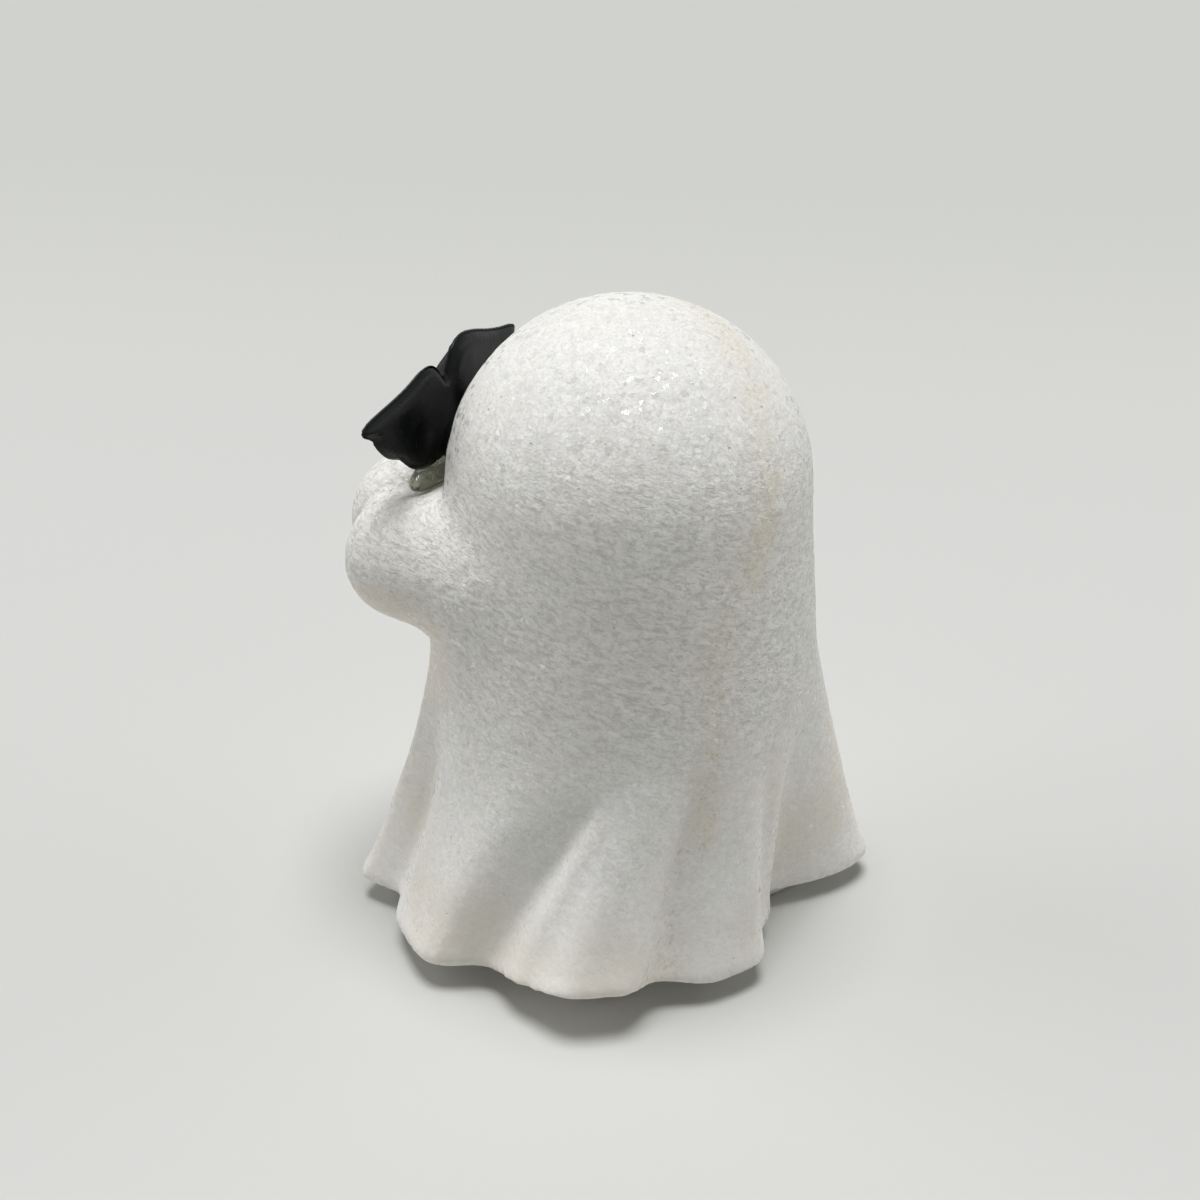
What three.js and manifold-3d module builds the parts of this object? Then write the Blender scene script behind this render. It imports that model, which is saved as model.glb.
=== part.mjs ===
// A marble ghost under a draped sheet, holding a small obsidian bat in its two arms.
// Millimetres, +Z up. The ghost faces -Y, its left hand is on the +X side,
// and the origin is the middle of the flat foot that it stands on.

import * as THREE from "three";
import { mergeVertices } from "three/addons/utils/BufferGeometryUtils.js";
import Module from "manifold-3d";

// The sheet: a round dome over a skirt that widens downwards
const ghostHeight = 75;
const domeRadius = 20.2;
const skirtFlare = 4.5;
const skirtEase = 1.15;

// A slight swell of the sheet below the arms
const bellyOut = 1;
const bellyHeight = 34;
const bellySpan = 9;

// The hem: a lip that turns outwards and ends in a rounded edge lifted off the table,
// cut in underneath to a flat foot.
// The foot's facets meet at the seam point, clear of its middle.
const hemLift = 2.4;
const hemEdge = 1.1;
const hemLip = 0.6;
const lipHeight = 5;
const footInset = 5.6;
const footFollow = 0.55;
const footCove = 0.8;
const footSeamX = 6;
const footSeamY = 4;

// The folds in order round the hem. "at" is degrees from the front towards the left hand,
// "out" how far the fold stands proud of the plain skirt, "lift" how far its hem rises above
// the lowest one, "top" the height where it fades out, "slant" how many degrees it drifts on
// its way up, and "groove" how deep it is cut halfway up.
const folds = [
  { at: 12, out: 7.5, lift: 0.2, top: 33, slant: 3, groove: 0 },
  { at: 21, out: 2.8, lift: 0.1, top: 31, slant: 8, groove: 1.2 },
  { at: 32, out: 4.6, lift: 0.2, top: 32, slant: 11, groove: 0 },
  { at: 48, out: 5.5, lift: 0.6, top: 31, slant: 20, groove: 0 },
  { at: 60, out: 0.8, lift: 0.5, top: 30, slant: 36, groove: 1.8 },
  { at: 71, out: 3.3, lift: 2.1, top: 30, slant: 28, groove: 0 },
  { at: 84, out: 5.4, lift: 3.4, top: 30, slant: 20, groove: 0 },
  { at: 96, out: 4, lift: 3.2, top: 30, slant: 15, groove: 0.3 },
  { at: 106, out: -0.8, lift: 1.3, top: 33, slant: 12, groove: 1 },
  { at: 122, out: -0.1, lift: 0.2, top: 30, slant: 5, groove: 0.3 },
  { at: 136, out: -0.3, lift: 0.3, top: 29, slant: -3, groove: 0 },
  { at: 148, out: -4.4, lift: 0.2, top: 32, slant: -4, groove: 0.8 },
  { at: 156, out: -5, lift: 0, top: 34, slant: -6, groove: 0 },
  { at: 167, out: -7.4, lift: 0, top: 34, slant: -4, groove: 0.5 },
  { at: 195, out: 5.3, lift: 0, top: 36, slant: 0, groove: 0 },
  { at: 214, out: -2.2, lift: 0, top: 33, slant: -6, groove: 1 },
  { at: 233, out: 4, lift: 1, top: 27, slant: -4, groove: 0 },
  { at: 251, out: -2.4, lift: 0.2, top: 30, slant: -12, groove: 1.2 },
  { at: 269, out: 3.2, lift: 0.9, top: 28, slant: -5, groove: 0 },
  { at: 286, out: -1.8, lift: 0.1, top: 31, slant: -10, groove: 0.9 },
  { at: 306, out: 4.8, lift: 1.2, top: 29, slant: -3, groove: 0 },
  { at: 323, out: -0.6, lift: 0.2, top: 28, slant: -8, groove: 0.8 },
  { at: 340, out: 5.6, lift: 0.8, top: 28, slant: 0, groove: 0 },
  { at: 356, out: 2.2, lift: 0.2, top: 30, slant: 2, groove: 0.7 },
];
const foldEase = 1.12;
const slantHeight = 30;
const slantEase = 1.6;
const slantEnd = 50;

// Two stub arms below the dome, side by side, the right one longer and a little higher.
// Close to the sheet each arm flares out sideways into it.
const armDrop = 8.7;
const rightArmLift = 0.8;
const armRootSpread = 6.6;
const armRootDepth = 8.5;
const armSpread = 5.4;
const leftArmReach = 10.6;
const rightArmReach = 11.9;
const armRootRadius = 8.8;
const armHandRadius = 7;
const handBluntness = 0.8;
const armFlare = 2.4;
const armFlareReach = 6;

// The bat: flat at the back, thick in the body, with ears, spread wings and a scalloped lower edge.
// Each outline point is how far it lies from the middle and above the bat's lowest point.
const batOutline = [
  [0, 9.3], [1.1, 10.5], [2.4, 11.7], [4.6, 11.9], [7.6, 11.2], [11.2, 10.7], [14.4, 10.4], [16.9, 10.1],
  [18.2, 9.6], [17.8, 8.9], [16.2, 8.1], [15.7, 7.1], [14.4, 5.7], [12.9, 4.6], [10.8, 3.7],
  [9.7, 2.7], [8.1, 1.5], [6.3, 0.8], [3.6, 0.2], [0, 0],
];
const batMiddle = 6.2;
const batLeftThickness = 2.9;
const batRightThickness = 1.8;
const batBodyThickness = 3.6;
const batBodyWidth = 3.4;
const batBackRound = 0.5;
const batBackSquareness = 12;
const batFrontSquareness = 3;
const batTurn = 16;
const batRoll = 0;
const batOffMiddle = -4.1;
const batStandOff = 0.7;
const batSeatRise = 0.9;

// Its right wing is carved thinner and with a higher shoulder than its left one
const shoulderRise = 1.4;
const shoulderAcross = 6.8;
const shoulderSpan = 5.5;
const shoulderHeight = 3;

// The adhesive that squeezed out along the bat's lower back edge
const glueLength = 7.6;
const glueDepth = 1.7;
const glueHeight = 1.9;
const glueRise = -0.2;
const glueOffMiddle = 1.6;

// The eyes: two oval cabochons let into the dome
const faceTurn = -12;
const eyeRise = 4.2;
const eyeSpread = 5.4;
const eyeWidth = 3.8;
const eyeTall = 5;
const eyeThickness = 2.4;
const eyeSunk = 0.5;

const seatGap = 0.3;

const marble = { color: 0xd6d5d0, roughness: 0.78, metalness: 0 };
const obsidian = { color: 0x131514, roughness: 0.16, metalness: 0 };
const clearGlue = { color: 0x8f8f84, roughness: 0.08, metalness: 0 };

const domeCentre = ghostHeight - domeRadius;
const hemRadius = domeRadius + skirtFlare;
const leftArmHeight = domeCentre - armDrop;
const rightArmHeight = leftArmHeight + rightArmLift;
const batSeatHeight = (leftArmHeight + rightArmHeight) / 2 + armHandRadius + batSeatRise;

const radians = THREE.MathUtils.degToRad;
const mix = THREE.MathUtils.lerp;
const smooth = THREE.MathUtils.smoothstep;

// A point at an angle from the front towards the left hand
function around(angle, radius, z) {
  return new THREE.Vector3(radius * Math.sin(angle), -radius * Math.cos(angle), z);
}

// A closed skin: a ball whose every vertex is moved to its place in the form.
// The ball's rings run from its upper pole to its lower one, its columns run anticlockwise.
function mould(columns, rings, place) {
  const ball = new THREE.SphereGeometry(1, columns, rings);
  const position = ball.attributes.position;
  for (let index = 0; index < position.count; index += 1) {
    const ring = Math.floor(index / (columns + 1));
    const column = (index % (columns + 1)) % columns;
    const point = place(column / columns, ring);
    position.setXYZ(index, point.x, point.y, point.z);
  }
  return ball;
}

// The height of one fold and its neighbour, blended so that crests and valleys are round
function foldAt(turn) {
  const degrees = THREE.MathUtils.euclideanModulo(turn * 360 - folds[0].at, 360) + folds[0].at;
  let next = folds.findIndex((fold) => fold.at > degrees);
  if (next < 0) {
    next = 0;
  }
  const before = folds[(next + folds.length - 1) % folds.length];
  const after = folds[next];
  const gap = THREE.MathUtils.euclideanModulo(after.at - before.at, 360);
  const share = smooth((degrees - before.at) / gap, 0, 1);
  return {
    out: mix(before.out, after.out, share),
    top: mix(before.top, after.top, share),
    lift: mix(before.lift, after.lift, share),
    slant: radians(mix(before.slant, after.slant, share)),
    groove: before.groove * (1 - share) ** 2 + after.groove * share ** 2,
  };
}

function plainSkirt(z) {
  const drop = Math.max(0, (domeCentre - z) / domeCentre);
  return domeRadius + skirtFlare * drop ** skirtEase;
}

function belly(angle, z) {
  const facing = Math.max(0, Math.cos(angle)) ** 2;
  return bellyOut * facing * Math.exp(-(((z - bellyHeight) / bellySpan) ** 2));
}

function slantShare(z) {
  const rise = Math.min(1, z / slantHeight) ** slantEase;
  return rise * (1 - smooth(z, slantHeight, slantEnd));
}

// The sheet from the top of the dome to the foot
function sheet(columns) {
  const domeRings = 13;
  const skirtRings = 24;
  const hemRings = 2;
  const hemStart = domeRings + skirtRings;
  const lastRing = hemStart + hemRings + 3;
  return mould(columns, lastRing, (turn, ring) => {
    const angle = turn * Math.PI * 2;
    if (ring <= domeRings) {
      const lean = (ring / domeRings) * (Math.PI / 2);
      return around(angle, domeRadius * Math.sin(lean), domeCentre + domeRadius * Math.cos(lean));
    }
    const fold = foldAt(turn);
    const reach = hemRadius + fold.out + hemLip;
    const lift = hemLift + fold.lift;
    const foot = hemRadius - footInset + footFollow * fold.out;
    if (ring <= hemStart) {
      const z = mix(domeCentre, lift + hemEdge, (ring - domeRings) / skirtRings);
      const fade = Math.max(0, (fold.top - z) / (fold.top - lift - hemEdge));
      const cut = fold.groove * Math.sin(Math.PI * fade) ** 2;
      const drifted = angle + fold.slant * slantShare(z);
      const lip = hemLip * Math.max(0, 1 - (z - lift - hemEdge) / lipHeight) ** 2;
      const proud = fold.out * fade ** foldEase - cut + belly(drifted, z) + lip;
      return around(drifted, plainSkirt(z) + proud, z);
    }
    if (ring <= hemStart + hemRings) {
      const bend = ((ring - hemStart) / hemRings) * (Math.PI / 2);
      return around(angle, reach - hemEdge * (1 - Math.cos(bend)), lift + hemEdge * (1 - Math.sin(bend)));
    }
    if (ring === hemStart + hemRings + 1) {
      return around(angle, mix(reach - hemEdge, foot, footCove), lift * footCove);
    }
    if (ring < lastRing) {
      return around(angle, foot, 0);
    }
    return new THREE.Vector3(footSeamX, footSeamY, 0);
  });
}

// How far an arm swells out sideways where it runs into the sheet
function flareAt(point, upward) {
  const clear = Math.hypot(point.x, point.y) - plainSkirt(point.z);
  const near = THREE.MathUtils.clamp(1 - clear / armFlareReach, 0, 1);
  return armFlare * near ** 2 * (1 - upward ** 2);
}

// One arm: a tapering limb from inside the body to a rounded hand.
// side is 1 for the ghost's left arm and -1 for its right one.
function arm(side, reach, height) {
  const path = new THREE.QuadraticBezierCurve3(
    new THREE.Vector3(side * armRootSpread, -armRootDepth, height),
    new THREE.Vector3(side * armRootSpread, -domeRadius, height),
    new THREE.Vector3(side * armSpread, -domeRadius - reach + armHandRadius, height),
  );
  const limbRings = 10;
  const handRings = 7;
  return mould(28, limbRings + handRings + 1, (turn, ring) => {
    const along = THREE.MathUtils.clamp((ring - 1) / limbRings, 0, 1);
    const centre = path.getPoint(along);
    const forward = path.getTangent(along);
    const radius = mix(armRootRadius, armHandRadius, along);
    const curl = Math.max(0, (ring - 1 - limbRings) / handRings) * (Math.PI / 2);
    const girth = ring === 0 ? 0 : radius * Math.cos(curl) ** handBluntness;
    const outward = new THREE.Vector3(forward.y, -forward.x, 0)
      .setLength(Math.cos(turn * Math.PI * 2))
      .setZ(Math.sin(turn * Math.PI * 2));
    const point = centre
      .addScaledVector(forward, radius * Math.sin(curl))
      .addScaledVector(outward, girth);
    return ring === 0 ? point : point.addScaledVector(outward, flareAt(point, outward.z));
  });
}

// The bat's outline all the way round, anticlockwise as seen from the front
function batCurve() {
  const left = batOutline.map(([across, up]) => new THREE.Vector3(across, up - batMiddle, 0));
  const right = left.slice(1, -1).map((point) => {
    const nearShoulder = Math.exp(-(((point.x - shoulderAcross) / shoulderSpan) ** 2));
    const rise = shoulderRise * nearShoulder * smooth(point.y, 0, shoulderHeight);
    return new THREE.Vector3(-point.x, point.y + rise, 0);
  });
  return new THREE.CatmullRomCurve3([...left.reverse(), ...right], true, "catmullrom", 0.5);
}

// The bat, grown all round by a clearance when it serves as the cutter for its own seat
function bat(grow) {
  const columns = 84;
  const rings = 13;
  const outline = batCurve().getSpacedPoints(columns);
  const frontRings = 9;
  return mould(columns, rings, (turn, ring) => {
    const edge = outline[Math.round(turn * columns)];
    const front = ring <= frontRings;
    const share = front
      ? Math.sin((ring / frontRings) * (Math.PI / 2))
      : Math.cos(((ring - frontRings) / (rings - frontRings)) * (Math.PI / 2));
    const spread = 1 + grow / edge.length();
    const across = edge.x * share * spread;
    const up = edge.y * share * spread;
    const body = Math.exp(-((across / batBodyWidth) ** 2)) * (1 - share ** 2) ** 1.5;
    const wing = mix(batRightThickness, batLeftThickness, smooth(across, -batBodyWidth, batBodyWidth));
    const rim = Math.sqrt(1 - share ** (front ? batFrontSquareness : batBackSquareness));
    const depth = front
      ? (wing - batBackRound + grow) * rim + (batBodyThickness - wing) * body
      : -(batBackRound + grow) * rim;
    return new THREE.Vector3(across, -depth, up);
  });
}

// Where the bat stands: its lowest point on the arms, its flat back just off the chest
function placeOnArms(geometry) {
  return geometry
    .rotateY(radians(batRoll))
    .rotateZ(radians(-batTurn))
    .translate(batOffMiddle, -domeRadius - batStandOff, batSeatHeight + batMiddle);
}

function glue(grow) {
  return placeOnArms(
    new THREE.SphereGeometry(1, 22, 10)
      .scale(glueLength + grow, glueDepth + grow, glueHeight + grow)
      .translate(glueOffMiddle, 0, glueRise - batMiddle),
  );
}

function eye(side, grow) {
  const latitude = Math.asin(eyeRise / domeRadius);
  const ringRadius = domeRadius * Math.cos(latitude);
  const longitude = radians(faceTurn) + side * Math.asin(eyeSpread / ringRadius);
  const depth = domeRadius - eyeSunk;
  return new THREE.SphereGeometry(1, 20, 12)
    .scale(eyeWidth / 2 + grow, eyeThickness / 2 + grow, eyeTall / 2 + grow)
    .rotateX(-latitude)
    .rotateZ(longitude)
    .translate(
      depth * Math.cos(latitude) * Math.sin(longitude),
      -depth * Math.cos(latitude) * Math.cos(longitude),
      domeCentre + depth * Math.sin(latitude),
    );
}

const wasm = await Module();
wasm.setup();

function solid(geometry) {
  const bare = geometry.clone();
  bare.deleteAttribute("normal");
  bare.deleteAttribute("uv");
  const merged = mergeVertices(bare, 0.0001);
  return new wasm.Manifold(new wasm.Mesh({
    numProp: 3,
    vertProperties: new Float32Array(merged.attributes.position.array),
    triVerts: new Uint32Array(merged.index.array),
  }));
}

function surface(body) {
  const mesh = body.getMesh();
  const geometry = new THREE.BufferGeometry();
  geometry.setAttribute("position", new THREE.BufferAttribute(new Float32Array(mesh.vertProperties), 3));
  geometry.setIndex(new THREE.BufferAttribute(new Uint32Array(mesh.triVerts), 1));
  geometry.computeVertexNormals();
  return geometry;
}

function ghostBody() {
  return solid(sheet(108))
    .add(solid(arm(1, leftArmReach, leftArmHeight)))
    .add(solid(arm(-1, rightArmReach, rightArmHeight)))
    .subtract(solid(placeOnArms(bat(seatGap))))
    .subtract(solid(glue(seatGap)))
    .subtract(solid(eye(1, seatGap)))
    .subtract(solid(eye(-1, seatGap)));
}

const ghost = new THREE.Group();

function piece(name, body, finish) {
  const mesh = new THREE.Mesh(surface(body), new THREE.MeshStandardMaterial(finish));
  mesh.name = name;
  ghost.add(mesh);
}

piece("ghost_body", ghostBody(), marble);
piece("bat", solid(placeOnArms(bat(0))), obsidian);
piece("glue_bead", solid(glue(0)).subtract(solid(placeOnArms(bat(seatGap)))), clearGlue);
piece("left_eye", solid(eye(1, 0)), obsidian);
piece("right_eye", solid(eye(-1, 0)), obsidian);

export default ghost;
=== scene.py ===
# Marble ghost carving with an obsidian bat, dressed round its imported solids
import math
import bpy
import bmesh
import numpy as np
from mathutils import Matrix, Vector, noise


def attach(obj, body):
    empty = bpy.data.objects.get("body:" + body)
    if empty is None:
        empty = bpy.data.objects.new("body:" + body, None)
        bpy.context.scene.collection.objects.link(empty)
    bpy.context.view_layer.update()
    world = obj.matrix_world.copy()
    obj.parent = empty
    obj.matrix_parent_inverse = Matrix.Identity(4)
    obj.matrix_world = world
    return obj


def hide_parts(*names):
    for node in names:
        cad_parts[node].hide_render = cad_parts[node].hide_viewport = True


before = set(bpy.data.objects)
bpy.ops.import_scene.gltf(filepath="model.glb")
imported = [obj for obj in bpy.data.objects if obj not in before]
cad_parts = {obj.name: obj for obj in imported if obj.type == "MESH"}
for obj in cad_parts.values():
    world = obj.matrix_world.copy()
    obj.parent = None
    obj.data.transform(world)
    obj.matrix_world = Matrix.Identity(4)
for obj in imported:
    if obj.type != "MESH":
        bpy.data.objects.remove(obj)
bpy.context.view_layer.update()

mm = 0.001


# helpers for materials

def addNode(tree, kind, inputs=None, **settings):
    node = tree.nodes.new(kind)
    for name, value in settings.items():
        setattr(node, name, value)
    for name, value in (inputs or {}).items():
        if isinstance(value, bpy.types.NodeSocket):
            tree.links.new(value, node.inputs[name])
        else:
            node.inputs[name].default_value = value
    return node


def newMaterial(name, shaderInputs):
    material = bpy.data.materials.new(name)
    material.use_nodes = True
    shader = material.node_tree.nodes["Principled BSDF"]
    for socket, value in shaderInputs.items():
        shader.inputs[socket].default_value = value
    return material, material.node_tree, shader


def newGroup(name, inputs, outputs):
    group = bpy.data.node_groups.new(name, "ShaderNodeTree")
    for title, kind in inputs.items():
        group.interface.new_socket(title, in_out="INPUT", socket_type=kind)
    for title in outputs:
        group.interface.new_socket(title, in_out="OUTPUT", socket_type="NodeSocketFloat")
    return group, addNode(group, "NodeGroupInput").outputs, addNode(group, "NodeGroupOutput").inputs


def millimetreCoords(tree):
    # object coordinates in millimetres, so that every size below reads as a real one
    coords = addNode(tree, "ShaderNodeTexCoord")
    return addNode(tree, "ShaderNodeMapping", {"Vector": coords.outputs["Object"],
                                               "Scale": (1 / mm, 1 / mm, 1 / mm)}).outputs["Vector"]


def mixColor(tree, factor, low, high, blend="MIX"):
    node = addNode(tree, "ShaderNodeMix", data_type="RGBA", blend_type=blend)
    for name, value in (("Factor", factor), ("A", low), ("B", high)):
        socket = next(s for s in node.inputs if s.name == name and s.enabled)
        if isinstance(value, bpy.types.NodeSocket):
            tree.links.new(value, socket)
        else:
            socket.default_value = value
    return next(s for s in node.outputs if s.enabled)


def ramp(tree, value, low, high, toLow=0.0, toHigh=1.0):
    return addNode(tree, "ShaderNodeMapRange", {"Value": value, "From Min": low, "From Max": high,
                                                "To Min": toLow, "To Max": toHigh},
                   interpolation_type="SMOOTHSTEP").outputs["Result"]


def calculate(tree, operation, first, second):
    return addNode(tree, "ShaderNodeMath", {0: first, 1: second}, operation=operation).outputs[0]


def multiply(tree, first, second):
    return calculate(tree, "MULTIPLY", first, second)


def weightedSum(tree, terms):
    total = multiply(tree, *terms[0])
    for value, weight in terms[1:]:
        total = calculate(tree, "ADD", total, multiply(tree, value, weight))
    return total


def vectorMath(tree, operation, first, second):
    node = addNode(tree, "ShaderNodeVectorMath", {0: first, 1: second}, operation=operation)
    return node.outputs["Value" if operation in ("DOT_PRODUCT", "DISTANCE") else "Vector"]


def noiseTexture(tree, where, scale, detail, roughness=0.5, distortion=0.0):
    return addNode(tree, "ShaderNodeTexNoise", {"Vector": where, "Scale": scale, "Detail": detail,
                                                "Roughness": roughness, "Distortion": distortion}).outputs


def addBump(tree, shader, height, strength, distance):
    bump = addNode(tree, "ShaderNodeBump", {"Height": height, "Strength": strength, "Distance": distance})
    tree.links.new(bump.outputs["Normal"], shader.inputs["Normal"])


# helpers for meshes

mergeGap = 0.002 * mm


def copyNode(nodeName, pieceName):
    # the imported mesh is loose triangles, so its doubles are merged first
    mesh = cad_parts[nodeName].data.copy()
    mesh.materials.clear()
    work = bmesh.new()
    work.from_mesh(mesh)
    bmesh.ops.remove_doubles(work, verts=work.verts, dist=mergeGap)
    work.to_mesh(mesh)
    work.free()
    piece = bpy.data.objects.new(pieceName, mesh)
    bpy.context.scene.collection.objects.link(piece)
    return piece


def settleModifiers(piece):
    view = bpy.context.evaluated_depsgraph_get()
    piece.data = bpy.data.meshes.new_from_object(piece.evaluated_get(view))
    piece.modifiers.clear()


def shadeSmooth(piece):
    for face in piece.data.polygons:
        face.use_smooth = True


def readSkin(mesh):
    spots, normals = np.empty(len(mesh.vertices) * 3), np.empty(len(mesh.vertices) * 3)
    mesh.vertices.foreach_get("co", spots)
    mesh.vertices.foreach_get("normal", normals)
    return spots.reshape(-1, 3), normals.reshape(-1, 3)


def writeSkin(mesh, spots):
    mesh.vertices.foreach_set("co", spots.ravel())
    mesh.update()


def fade(value, start, end):
    # 0 up to start and 1 from end on; start may be the higher of the two
    return np.clip((value - start) / (end - start), 0, 1)


def dress(piece, nodeName, material):
    piece.data.materials.clear()
    piece.data.materials.append(material)
    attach(piece, "root")
    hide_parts(nodeName)


# camera, at the photograph's angle

camera = {"azimuth": 98, "elevation": 28, "distance": 220 * mm, "target": (0, -3.19 * mm, 39.36 * mm),
          "lens": 57.99, "sensor": 36, "nearest": 5 * mm, "farthest": 20}


def lookFrom(azimuth, elevation):
    turn, tilt = math.radians(azimuth), math.radians(elevation)
    return Vector((math.sin(turn) * math.cos(tilt), -math.cos(turn) * math.cos(tilt), math.sin(tilt)))


def placeCamera():
    lensData = bpy.data.cameras.new("camera")
    lensData.lens = camera["lens"]
    lensData.sensor_width = camera["sensor"]
    lensData.clip_start = camera["nearest"]
    lensData.clip_end = camera["farthest"]
    holder = bpy.data.objects.new("camera", lensData)
    bpy.context.scene.collection.objects.link(holder)
    back = lookFrom(camera["azimuth"], camera["elevation"])
    holder.location = Vector(camera["target"]) + back * camera["distance"]
    holder.rotation_euler = back.to_track_quat("Z", "Y").to_euler()
    bpy.context.scene.camera = holder


placeCamera()
print("camera placed")


# studio: a pale floor, painted darker towards the back as painted shade, a pale surround and soft lamps

studio = {"floorSize": 4, "floorRoughness": 0.6, "floorColor": (0.585, 0.588, 0.572, 1),
          "farShadeColor": (0.515, 0.523, 0.50, 1), "farShadeFade": (-70, -380),
          "surround": (0.65, 0.665, 0.635, 1), "skyStrength": 0.10, "backgroundStrength": 1.0}
lamps = {"topLamp": {"power": 2.85, "angle": 30, "turn": 98, "rise": 90},
         "leftLamp": {"power": 0.84, "angle": 50, "turn": -2, "rise": 28},
         "rightLamp": {"power": 0.68, "angle": 50, "turn": 198, "rise": 15}}


def buildFloor():
    work = bmesh.new()
    bmesh.ops.create_grid(work, x_segments=1, y_segments=1, size=studio["floorSize"])
    mesh = bpy.data.meshes.new("floor")
    work.to_mesh(mesh)
    work.free()
    floor = bpy.data.objects.new("floor", mesh)
    bpy.context.scene.collection.objects.link(floor)
    material, tree, shader = newMaterial("paleTable", {"Roughness": studio["floorRoughness"]})
    along = addNode(tree, "ShaderNodeSeparateXYZ", {"Vector": millimetreCoords(tree)}).outputs["X"]
    # painted shade: the floor darkens towards the back, where the light falls off
    far = ramp(tree, along, *studio["farShadeFade"])
    tree.links.new(mixColor(tree, far, studio["floorColor"], studio["farShadeColor"]), shader.inputs["Base Color"])
    floor.data.materials.append(material)


def buildSurround():
    # pale for the eye and for reflections, dimmer as a light
    world = bpy.data.worlds.new("surround")
    world.use_nodes = True
    bpy.context.scene.world = world
    tree = world.node_tree
    rays = addNode(tree, "ShaderNodeLightPath").outputs
    seen = calculate(tree, "ADD", rays["Is Camera Ray"], rays["Is Glossy Ray"])
    seen = addNode(tree, "ShaderNodeMath", {0: seen, 1: rays["Is Transmission Ray"]},
                   operation="ADD", use_clamp=True).outputs[0]
    back = tree.nodes["Background"]
    back.inputs["Color"].default_value = studio["surround"]
    tree.links.new(ramp(tree, seen, 0, 1, studio["skyStrength"], studio["backgroundStrength"]),
                   back.inputs["Strength"])


def addLamp(name, power, angle, turn, rise):
    # a wide, far softbox; turn and rise say where it stands, like a camera's azimuth and elevation
    lamp = bpy.data.lights.new(name, "SUN")
    lamp.energy = power
    lamp.angle = math.radians(angle)
    holder = bpy.data.objects.new(name, lamp)
    bpy.context.scene.collection.objects.link(holder)
    holder.rotation_euler = lookFrom(turn, rise).to_track_quat("Z", "Y").to_euler()


buildFloor()
buildSurround()
for lampName, settings in lamps.items():
    addLamp(lampName, **settings)
bpy.context.scene.view_settings.view_transform = "Standard"
print("studio built")


# the marble, in millimetres; a fade is given as (from, to) or (from, to, least, most)

toolSlant = 0.26  # the tool's scales rise this much for each millimetre towards the front
marble = {
    "shader": {"IOR": 1.5, "Subsurface Weight": 0.2, "Subsurface Radius": (1.0, 0.93, 0.8),
               "Subsurface Scale": 1.2 * mm},
    "roughness": 0.6,
    "crystals": {"size": 0.62, "fineSize": 0.279, "coarseShare": 0.3, "fineShare": 0.7,
                 "jitterScale": 2.2, "jitter": (0.35, 0.35, 0.35),
                 "white": (0.90, 0.892, 0.868, 1), "grey": (0.765, 0.757, 0.735, 1)},
    # the glints' tint paints their crystals a little whiter, a painted highlight beside their real gloss
    "glints": {"share": 0.17, "tilt": 3.3, "lean": (0, 0, -0.4), "tint": 0.12, "roughness": 0.14,
               "color": (0.95, 0.95, 0.94, 1)},
    "clouds": {"scale": 0.16, "fade": (0.3, 0.7, 0.75, 1.2)},
    # the grey band is painted shade round the middle of the body; the whiter hem is painted light
    "shadeBand": {"top": (58, 44), "bottom": (14, 30), "share": 0.5, "color": (0.88, 0.88, 0.875, 1)},
    "hem": {"fade": (24, 4, 0, 0.4), "color": (0.93, 0.915, 0.89, 1)},
    # warm stains that grow towards the hem, partly painted warm bounce light in the lower shade
    "stainsAndBounce": {"scale": 0.06, "roughness": 0.55, "fade": (0.38, 0.72), "height": (64, 10, 0.2, 0.8),
               "color": (0.80, 0.755, 0.68, 1)},
    "scales": {"wide": 0.9, "tall": 2.1, "scale": 1.05, "roughness": 0.7, "distortion": 0.7,
               "top": (69, 57, 0.12, 1), "bottom": (22, 40, 0.25, 1),
               # hollowShade is painted shade in the scales' hollows; ridgeLight is a painted highlight on
               # their ridges
               "hollow": (0.54, 0.38), "hollowShade": (0.81, 0.80, 0.785, 1),
               "ridge": (0.52, 0.66, 0, 0.35), "ridgeLight": (0.93, 0.925, 0.91, 1)},
    # painted warm shade on the underside of the hands
    "handShade": {"middle": (4, -27, 40), "reach": (16, 9), "slope": (-0.35, 0, 1), "edge": (42.1, 41.0),
                  "share": 0.85, "color": (0.79, 0.735, 0.655, 1)},
    "vein": {"normal": (0.584, -0.779, 0.229), "offset": 9.35, "halfWidth": 5.5, "speckHalfWidth": 3.025,
             "swerveScale": 0.11, "swerve": (0.2, 0.8, -2.0, 2.0),
             "patchScale": 0.22, "patches": (0.3, 0.75, 0.1, 0.5), "tint": (0.76, 0.695, 0.56, 1),
             "speckScale": 1.6, "speckRoughness": 0.7, "specks": (0.5, 0.7, 0, 0.55),
             "speckColor": (0.50, 0.38, 0.25, 1)},
    "pits": {"scale": 0.75, "size": (0.13, 0.04), "rarity": (0.72, 0.85), "share": 0.5,
             "color": (0.40, 0.385, 0.35, 1)},
    "relief": {"fineFacets": 0.5, "gritScale": 3.2, "grit": 0.3, "scales": 1.3, "pits": -0.8,
               "height": (8, 36, 0.35, 1), "strength": 0.9, "distance": 0.2 * mm}}


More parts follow.
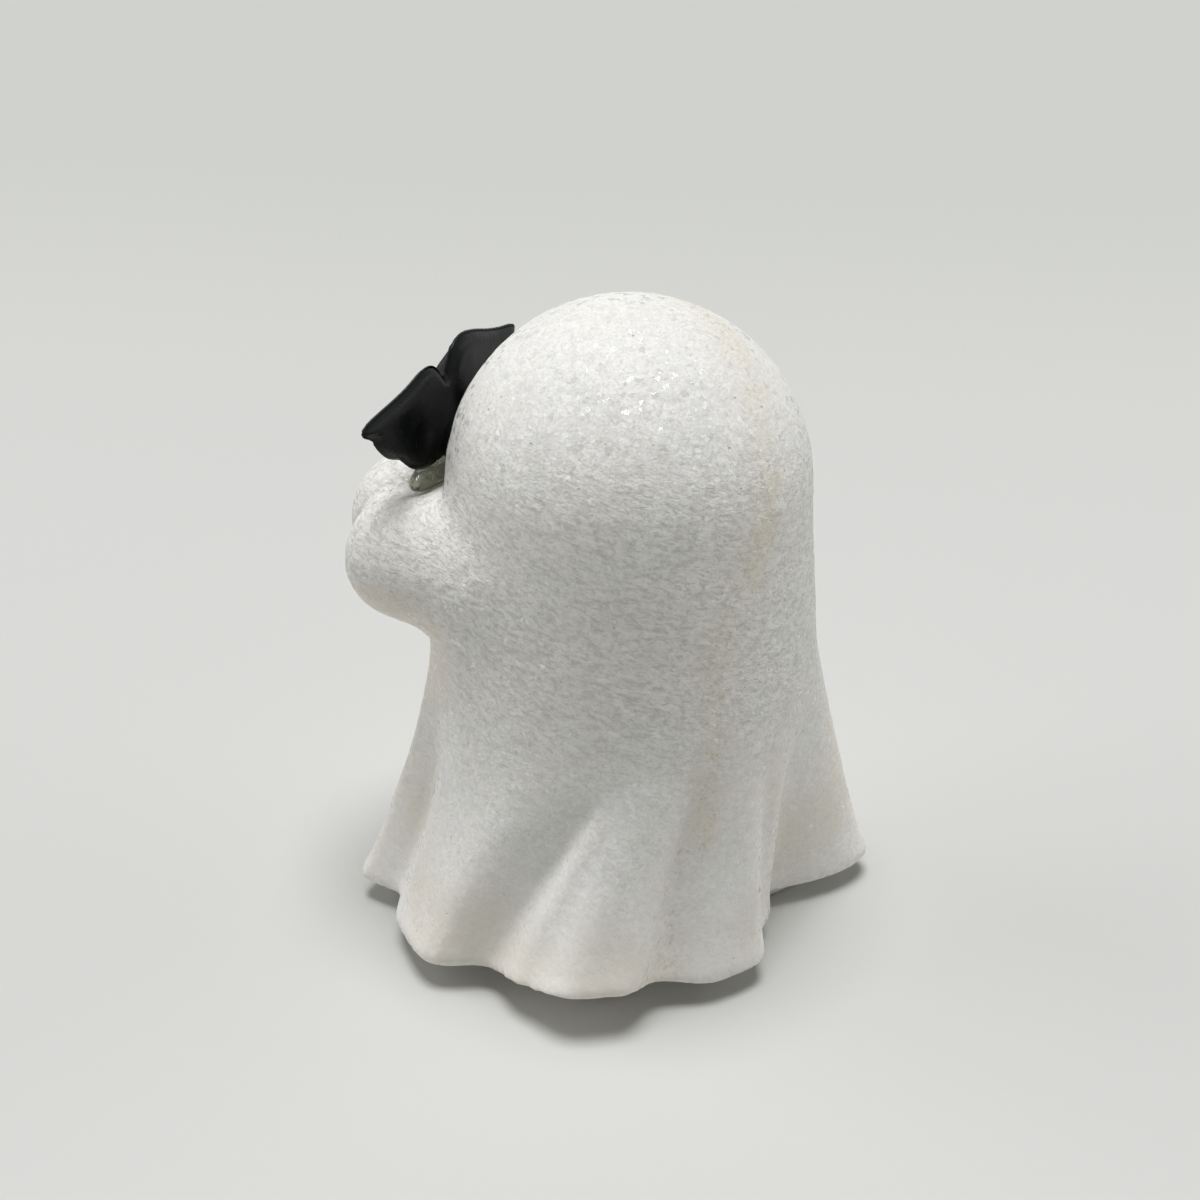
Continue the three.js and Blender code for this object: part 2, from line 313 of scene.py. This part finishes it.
def crystalGroup():
    # one crystal of the stone after another: its own shade, a facet with its own tilt, and rare glints
    crystals = marble["crystals"]
    group, given, result = newGroup("crystalGrain", {
        "Vector": "NodeSocketVector", "Cell Size": "NodeSocketFloat", "Glint Share": "NodeSocketFloat",
        "Glint Tilt": "NodeSocketFloat"}, ("Shade", "Facets", "Glint"))
    jitter = noiseTexture(group, given["Vector"], crystals["jitterScale"], detail=1)["Color"]
    shift = vectorMath(group, "MULTIPLY", jitter, crystals["jitter"])
    place = vectorMath(group, "ADD", given["Vector"], shift)
    perCell = calculate(group, "DIVIDE", 1.0, given["Cell Size"])
    cells = addNode(group, "ShaderNodeTexVoronoi", {"Vector": place, "Scale": perCell}).outputs
    parts = addNode(group, "ShaderNodeSeparateColor", {"Color": cells["Color"]}).outputs
    plain = calculate(group, "SUBTRACT", 1.0, given["Glint Share"])
    glint = calculate(group, "GREATER_THAN", parts["Blue"], plain)
    # a glint's facet leans upwards and is steeper than the others
    halfway = (0.5, 0.5, 0.5)
    tilt = vectorMath(group, "SUBTRACT", cells["Color"], halfway)
    lean = vectorMath(group, "ADD", marble["glints"]["lean"], tilt)
    fromMiddle = vectorMath(group, "SUBTRACT", place, cells["Position"])
    facet = vectorMath(group, "DOT_PRODUCT", mixColor(group, glint, tilt, lean), fromMiddle)
    steeper = ramp(group, glint, 0, 1, 1, given["Glint Tilt"])
    group.links.new(parts["Red"], result["Shade"])
    group.links.new(multiply(group, facet, steeper), result["Facets"])
    group.links.new(glint, result["Glint"])
    return group


crystalGrain = crystalGroup()


def stoneCells(tree, where, size, glintShare, glintTilt):
    cells = addNode(tree, "ShaderNodeGroup", node_tree=crystalGrain)
    cells.inputs["Cell Size"].default_value = size
    cells.inputs["Glint Share"].default_value = glintShare
    cells.inputs["Glint Tilt"].default_value = glintTilt
    tree.links.new(where, cells.inputs["Vector"])
    return cells.outputs


def crystalColor(tree, where, coarse, fine):
    crystals, clouds = marble["crystals"], marble["clouds"]
    shade = weightedSum(tree, [(coarse["Shade"], crystals["coarseShare"]),
                               (fine["Shade"], crystals["fineShare"])])
    cloud = noiseTexture(tree, where, clouds["scale"], detail=4)["Fac"]
    shade = multiply(tree, ramp(tree, shade, 0, 1), ramp(tree, cloud, *clouds["fade"]))
    return mixColor(tree, shade, crystals["grey"], crystals["white"])


def heightShadeLightAndStains(tree, where, height, color):
    # painted shade makes the stone greyer round the middle of the block, and painted light makes it whitest
    # at the hem
    band, hem, stainsAndBounce = marble["shadeBand"], marble["hem"], marble["stainsAndBounce"]
    grey = multiply(tree, ramp(tree, height, *band["top"]), ramp(tree, height, *band["bottom"]))
    color = mixColor(tree, multiply(tree, grey, band["share"]), color, band["color"], "MULTIPLY")
    color = mixColor(tree, ramp(tree, height, *hem["fade"]), color, hem["color"])
    # soft warm stains, more of them near the hem, where they also paint the warm bounce light in the lower
    # shade
    blots = noiseTexture(tree, where, stainsAndBounce["scale"], detail=3, roughness=stainsAndBounce["roughness"])["Fac"]
    warmTint = multiply(tree, ramp(tree, blots, *stainsAndBounce["fade"]), ramp(tree, height, *stainsAndBounce["height"]))
    return mixColor(tree, warmTint, color, stainsAndBounce["color"])


def toolScales(tree, where, height):
    # slanting scales left by the tools, and how strongly they show at each height
    scales = marble["scales"]
    parts = addNode(tree, "ShaderNodeSeparateXYZ", {"Vector": where}).outputs
    stretched = addNode(tree, "ShaderNodeCombineXYZ", {
        "X": multiply(tree, parts["X"], scales["wide"]),
        "Y": multiply(tree, parts["Y"], scales["wide"]),
        "Z": multiply(tree, vectorMath(tree, "DOT_PRODUCT", where, (0, toolSlant, 1)), scales["tall"])})
    pattern = noiseTexture(tree, stretched.outputs["Vector"], scales["scale"], detail=3,
                           roughness=scales["roughness"], distortion=scales["distortion"])["Fac"]
    worked = multiply(tree, ramp(tree, height, *scales["top"]), ramp(tree, height, *scales["bottom"]))
    return pattern, worked


def scaleShadeAndHighlight(tree, pattern, worked, color):
    # painted shade in the hollows of the scales, painted highlight on their ridges
    scales = marble["scales"]
    hollow = multiply(tree, ramp(tree, pattern, *scales["hollow"]), worked)
    color = mixColor(tree, hollow, color, scales["hollowShade"], "MULTIPLY")
    ridge = multiply(tree, ramp(tree, pattern, *scales["ridge"]), worked)
    return mixColor(tree, ridge, color, scales["ridgeLight"])


def paintHandShade(tree, where, color):
    # painted warm shade on the underside of the hands
    warmTint = marble["handShade"]
    near = ramp(tree, vectorMath(tree, "DISTANCE", where, warmTint["middle"]), *warmTint["reach"])
    under = ramp(tree, vectorMath(tree, "DOT_PRODUCT", where, warmTint["slope"]), *warmTint["edge"])
    share = multiply(tree, multiply(tree, near, under), warmTint["share"])
    return mixColor(tree, share, color, warmTint["color"])


def veinColor(tree, where, color):
    # one soft brown vein through the block, freckled along its middle
    vein = marble["vein"]
    swerve = noiseTexture(tree, where, vein["swerveScale"], detail=3)["Fac"]
    patches = noiseTexture(tree, where, vein["patchScale"], detail=3)["Fac"]
    specks = noiseTexture(tree, where, vein["speckScale"], detail=4, roughness=vein["speckRoughness"])["Fac"]
    through = vectorMath(tree, "DOT_PRODUCT", where, vein["normal"])
    off = calculate(tree, "SUBTRACT", through, vein["offset"])
    off = calculate(tree, "ADD", off, ramp(tree, swerve, *vein["swerve"]))
    away = addNode(tree, "ShaderNodeMath", {0: off}, operation="ABSOLUTE").outputs[0]
    tinted = multiply(tree, ramp(tree, away, vein["halfWidth"], 0), ramp(tree, patches, *vein["patches"]))
    freckled = multiply(tree, ramp(tree, away, vein["speckHalfWidth"], 0),
                        ramp(tree, specks, *vein["specks"]))
    color = mixColor(tree, tinted, color, vein["tint"])
    return mixColor(tree, freckled, color, vein["speckColor"])


def pitMask(tree, where):
    # small dark pits between the crystals
    pits = marble["pits"]
    cells = addNode(tree, "ShaderNodeTexVoronoi", {"Vector": where, "Scale": pits["scale"]}).outputs
    pick = addNode(tree, "ShaderNodeSeparateColor", {"Color": cells["Color"]}).outputs["Green"]
    return multiply(tree, ramp(tree, cells["Distance"], *pits["size"]), ramp(tree, pick, *pits["rarity"]))


def makeMarble():
    material, tree, shader = newMaterial("whiteMarble", marble["shader"])
    crystals, glints, pits, relief = (marble[part] for part in ("crystals", "glints", "pits", "relief"))
    where = millimetreCoords(tree)
    height = addNode(tree, "ShaderNodeSeparateXYZ", {"Vector": where}).outputs["Z"]
    coarse = stoneCells(tree, where, crystals["size"], glints["share"], glints["tilt"])
    fine = stoneCells(tree, where, crystals["fineSize"], 0, 1)
    pattern, worked = toolScales(tree, where, height)
    pit = pitMask(tree, where)
    color = crystalColor(tree, where, coarse, fine)
    color = heightShadeLightAndStains(tree, where, height, color)
    color = scaleShadeAndHighlight(tree, pattern, worked, color)
    color = paintHandShade(tree, where, color)
    color = veinColor(tree, where, color)
    color = mixColor(tree, multiply(tree, pit, pits["share"]), color, pits["color"])
    # glint crystals are also painted a little whiter: a painted highlight beside their real gloss and steeper
    # facets
    color = mixColor(tree, multiply(tree, coarse["Glint"], glints["tint"]), color, glints["color"])
    tree.links.new(color, shader.inputs["Base Color"])
    shine = ramp(tree, coarse["Glint"], 0, 1, marble["roughness"], glints["roughness"])
    tree.links.new(shine, shader.inputs["Roughness"])
    grit = noiseTexture(tree, where, relief["gritScale"], detail=3)["Fac"]
    surface = weightedSum(tree, [(coarse["Facets"], 1.0), (fine["Facets"], relief["fineFacets"]),
                                 (grit, relief["grit"]), (multiply(tree, pattern, worked), relief["scales"]),
                                 (pit, relief["pits"])])
    surface = multiply(tree, surface, ramp(tree, height, *relief["height"]))
    addBump(tree, shader, surface, relief["strength"], relief["distance"])
    return material


# the ghost's stone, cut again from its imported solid; lengths in millimetres

ghost = {"voxel": 0.44, "settle": 8, "lastSettle": 2,
         "fillRounds": 900, "fillPace": 0.5,
         "armpits": {"front": (-6, -9), "bottom": (30, 34), "top": (62, 58)},
         "underBat": {"left": (8, 6), "right": (-15, -13), "front": (-29, -27), "bottom": (51.8, 53)},
         "roots": {"rounds": 90, "side": 9, "depth": (-24, -4), "height": (34, 52)},
         "bridge": {"middle": -0.2, "span": 2.7, "rise": 1.4, "front": (-24.5, -28), "bottom": (38, 42)},
         "flatFoot": 0.25, "lump": 0.10, "lumpSize": 9, "grain": 0.035, "grainSize": 1.1,
         "scale": 0.07, "scaleWide": 2.4, "scaleTall": 0.85,
         "scaleTop": (70, 58), "scaleBottom": (20, 40), "leastScale": 0.2}


def smoothSkin(mesh, rounds, isNear=None):
    work = bmesh.new()
    work.from_mesh(mesh)
    near = [vert for vert in work.verts if isNear is None or isNear(vert.co)]
    for _ in range(rounds):
        bmesh.ops.smooth_vert(work, verts=near, factor=0.5, use_axis_x=True, use_axis_y=True, use_axis_z=True)
    work.to_mesh(mesh)
    work.free()
    mesh.update()


def armpitShare(x, y, z):
    # 1 where the arms run into each other and into the sheet, 0 near the bat and the adhesive
    filled, spared = ghost["armpits"], ghost["underBat"]
    share = fade(y, *filled["front"]) * fade(z, *filled["bottom"]) * fade(z, *filled["top"])
    underBat = fade(x, *spared["left"]) * fade(x, *spared["right"]) * fade(y, *spared["front"])
    return share * (1 - underBat * fade(z, *spared["bottom"]))


def fillCreases(mesh):
    # hollow points creep outwards to the mean of their neighbours, proud ones stay
    count = len(mesh.vertices)
    spots, normals = readSkin(mesh)
    ends = np.empty(len(mesh.edges) * 2, dtype=np.int64)
    mesh.edges.foreach_get("vertices", ends)
    ends = ends.reshape(-1, 2)
    share = armpitShare(*(spots.T / mm))
    ends = ends[(share[ends] > 0).any(axis=1)]
    start, stop = np.concatenate([ends, ends[:, ::-1]]).T
    valence = np.maximum(np.bincount(start, minlength=count), 1)
    for _ in range(ghost["fillRounds"]):
        drift = np.zeros(count)
        for axis in range(3):
            mean = np.bincount(start, weights=spots[stop, axis], minlength=count) / valence
            drift += (mean - spots[:, axis]) * normals[:, axis]
        gain = np.where(share > 0, np.maximum(drift, 0) * share * ghost["fillPace"], 0)
        spots += normals * gain[:, None]
    writeSkin(mesh, spots)


def atArmRoot(spot):
    roots = ghost["roots"]
    return (abs(spot.x) > roots["side"] * mm and roots["depth"][0] * mm < spot.y < roots["depth"][1] * mm
            and roots["height"][0] * mm < spot.z < roots["height"][1] * mm)


def bridgeHands(mesh):
    # the hands run into each other in front of the bat
    bridge = ghost["bridge"]
    spots, normals = readSkin(mesh)
    x, y, z = spots.T / mm
    between = np.exp(-((x - bridge["middle"]) / bridge["span"]) ** 2)
    rise = between * fade(y, *bridge["front"]) * fade(z, *bridge["bottom"]) * bridge["rise"]
    writeSkin(mesh, spots + normals * (rise * mm)[:, None])


def roughen(mesh):
    # lumps, grain and slanting scales, with the foot left flat
    work = bmesh.new()
    work.from_mesh(mesh)
    work.normal_update()
    heights = np.array([vert.co.z for vert in work.verts]) / mm
    hanging = fade(heights, *ghost["scaleTop"]) * np.maximum(fade(heights, *ghost["scaleBottom"]),
                                                             ghost["leastScale"])
    for vert, scaled in zip(work.verts, hanging):
        place = vert.co / mm
        if place.z < ghost["flatFoot"]:
            continue
        slanted = Vector((place.x / ghost["scaleWide"], place.y / ghost["scaleWide"],
                          (place.z + toolSlant * place.y) / ghost["scaleTall"]))
        swell = noise.noise(place / ghost["lumpSize"]) * ghost["lump"]
        swell += noise.noise(place / ghost["grainSize"]) * ghost["grain"]
        swell += noise.noise(slanted) * ghost["scale"] * scaled
        vert.co += vert.normal * swell * mm
    work.to_mesh(mesh)
    work.free()


def carveGhost():
    piece = copyNode("ghost_body", "ghost")
    remesh = piece.modifiers.new("evenSkin", "REMESH")
    remesh.mode = "VOXEL"
    remesh.voxel_size = ghost["voxel"] * mm
    settleModifiers(piece)
    smoothSkin(piece.data, ghost["settle"])
    fillCreases(piece.data)
    smoothSkin(piece.data, ghost["roots"]["rounds"], atArmRoot)
    bridgeHands(piece.data)
    smoothSkin(piece.data, ghost["lastSettle"])
    roughen(piece.data)
    shadeSmooth(piece)
    print("ghost carved,", len(piece.data.polygons), "faces")
    return piece


dress(carveGhost(), "ghost_body", makeMarble())


# the bat and the eyes, polished black stone

obsidian = {"shader": {"IOR": 1.5, "Specular IOR Level": 0.13}, "color": (0.0055, 0.0068, 0.0066, 1),
            "smear": (0.35, 0.7, 0.24, 0.384), "waveStrength": 0.5,
            "dustColor": (0.1, 0.1, 0.095, 1), "dustShare": 0.25, "dustScale": 1.6, "dustSize": (0.09, 0.02)}
bat = {"rounds": 2, "waveSize": 3.5, "waveHeight": 0.12 * mm,
       "turn": 16, "middle": (-4.1, -20.9, 61.6), "topBevel": 1.5, "lowBevel": 0.7, "bevelRise": (-1, 2),
       "frontToBack": (-0.3, 0.3), "sectors": 160}
eyes = {"rounds": 2, "waveSize": 1.5, "waveHeight": 0.03 * mm}


def polishGroup():
    # faint hand-polish waves and dust specks on black stone
    group, given, result = newGroup("handPolish", {
        "Vector": "NodeSocketVector", "Wave Size": "NodeSocketFloat"}, ("Waves", "Dust"))
    perWave = calculate(group, "DIVIDE", 1.0, given["Wave Size"])
    waves = noiseTexture(group, given["Vector"], perWave, detail=2)["Fac"]
    specks = addNode(group, "ShaderNodeTexVoronoi", {"Vector": given["Vector"],
                                                     "Scale": obsidian["dustScale"]}).outputs["Distance"]
    group.links.new(waves, result["Waves"])
    group.links.new(ramp(group, specks, *obsidian["dustSize"]), result["Dust"])
    return group


handPolish = polishGroup()


def makeObsidian(name, waveSize, waveHeight):
    material, tree, shader = newMaterial(name, obsidian["shader"])
    polish = addNode(tree, "ShaderNodeGroup", node_tree=handPolish)
    polish.inputs["Wave Size"].default_value = waveSize
    tree.links.new(millimetreCoords(tree), polish.inputs["Vector"])
    dusty = multiply(tree, polish.outputs["Dust"], obsidian["dustShare"])
    color = mixColor(tree, dusty, obsidian["color"], obsidian["dustColor"])
    tree.links.new(color, shader.inputs["Base Color"])
    tree.links.new(ramp(tree, polish.outputs["Waves"], *obsidian["smear"]), shader.inputs["Roughness"])
    addBump(tree, shader, polish.outputs["Waves"], obsidian["waveStrength"], waveHeight)
    return material


def smoothCopy(nodeName, pieceName, rounds):
    piece = copyNode(nodeName, pieceName)
    skin = piece.modifiers.new("roundSkin", "SUBSURF")
    skin.levels = rounds
    skin.render_levels = rounds
    settleModifiers(piece)
    shadeSmooth(piece)
    return piece


def outlineGap(across, up):
    # each point's distance from the bat's outline, which is its farthest point in each sector
    sectors = bat["sectors"]
    sector = np.round(np.arctan2(up, across) / (2 * math.pi) * sectors).astype(int) % sectors
    reach = np.hypot(across, up)
    rim = []
    for number in range(sectors):
        inSector = np.flatnonzero(sector == number)
        if len(inSector):
            rim.append(inSector[np.argmax(reach[inSector])])
    outline = np.stack([across[rim], up[rim]], axis=1)
    step = np.roll(outline, -1, axis=0) - outline
    gap = np.stack([across, up], axis=1)[:, None] - outline[None]
    share = np.clip((gap * step).sum(2) / np.maximum((step ** 2).sum(1), 1e-9), 0, 1)
    return np.sqrt(((gap - share[..., None] * step) ** 2).sum(2)).min(axis=1)


def bevelBack(piece):
    # the bat's flat back is ground round towards its outline, widest along the top
    spots = readSkin(piece.data)[0] / mm
    turn = math.radians(bat["turn"])
    away = spots - np.array(bat["middle"])
    across = away[:, 0] * math.cos(turn) - away[:, 1] * math.sin(turn)
    behind = away[:, 0] * math.sin(turn) + away[:, 1] * math.cos(turn)
    up = away[:, 2]
    width = bat["lowBevel"] + (bat["topBevel"] - bat["lowBevel"]) * fade(up, *bat["bevelRise"])
    left = np.clip(1 - outlineGap(across, up) / width, 0, 1)
    drop = width * (1 - np.sqrt(1 - left ** 2)) * fade(behind, *bat["frontToBack"])
    spots[:, 0] -= drop * math.sin(turn)
    spots[:, 1] -= drop * math.cos(turn)
    writeSkin(piece.data, spots * mm)
    return piece


batMaterial = makeObsidian("batObsidian", bat["waveSize"], bat["waveHeight"])
dress(bevelBack(smoothCopy("bat", "obsidianBat", bat["rounds"])), "bat", batMaterial)
eyeMaterial = makeObsidian("eyeObsidian", eyes["waveSize"], eyes["waveHeight"])
for side in ("left", "right"):
    eye = smoothCopy(side + "_eye", side + "EyeStone", eyes["rounds"])
    dress(eye, side + "_eye", eyeMaterial)
print("bat and eyes polished")


# the adhesive under the bat, tinted dark olive: partly its own colour, partly painted shade of the pocket it
# sits in

adhesive = {"shader": {"Roughness": 0.1, "IOR": 1.47, "Transmission Weight": 0.9},
            "color": (0.50, 0.50, 0.40, 1), "deepShadeColor": (0.36, 0.36, 0.28, 1), "rounds": 1,
            "rippleScale": 0.9, "rippleStrength": 0.4, "rippleHeight": 0.2 * mm}


def makeAdhesive():
    material, tree, shader = newMaterial("adhesiveAndPocketShade", adhesive["shader"])
    ripple = noiseTexture(tree, millimetreCoords(tree), adhesive["rippleScale"], detail=2)["Fac"]
    # the olive tint darkens the bead as painted shade of the pocket under the bat
    color = mixColor(tree, ripple, adhesive["color"], adhesive["deepShadeColor"])
    tree.links.new(color, shader.inputs["Base Color"])
    addBump(tree, shader, ripple, adhesive["rippleStrength"], adhesive["rippleHeight"])
    return material


dress(smoothCopy("glue_bead", "adhesiveBead", adhesive["rounds"]), "glue_bead", makeAdhesive())
print("adhesive laid")
